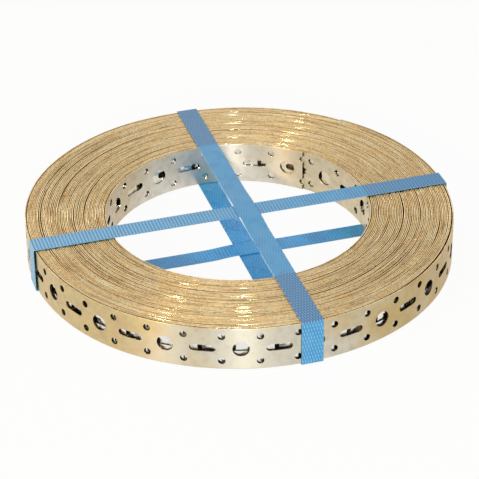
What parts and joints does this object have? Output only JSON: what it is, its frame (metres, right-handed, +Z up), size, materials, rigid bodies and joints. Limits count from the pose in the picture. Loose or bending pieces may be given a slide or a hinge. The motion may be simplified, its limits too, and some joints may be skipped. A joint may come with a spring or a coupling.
{
  "type": "steel coil",
  "caption": "Flat-lying coil of perforated galvanised steel fixing strip with an open bore, tied by two crossing blue plastic packing straps.",
  "frame": {"origin": "on the floor under the middle of the coil", "axes": "+Z up along the coil's axis, +X along the first strap, +Y along the cross strap"},
  "size_m": [0.2425, 0.2418, 0.0276],
  "materials": {
    "galvanised_strip": "galvanised strip with a warm sheen and tarnished slit edges",
    "strap": "embossed polypropylene"
  },
  "bodies": {
    "root": {"strip_coil": "galvanised_strip", "first_strap": "strap", "cross_strap": "strap"}
  },
  "joints": []
}
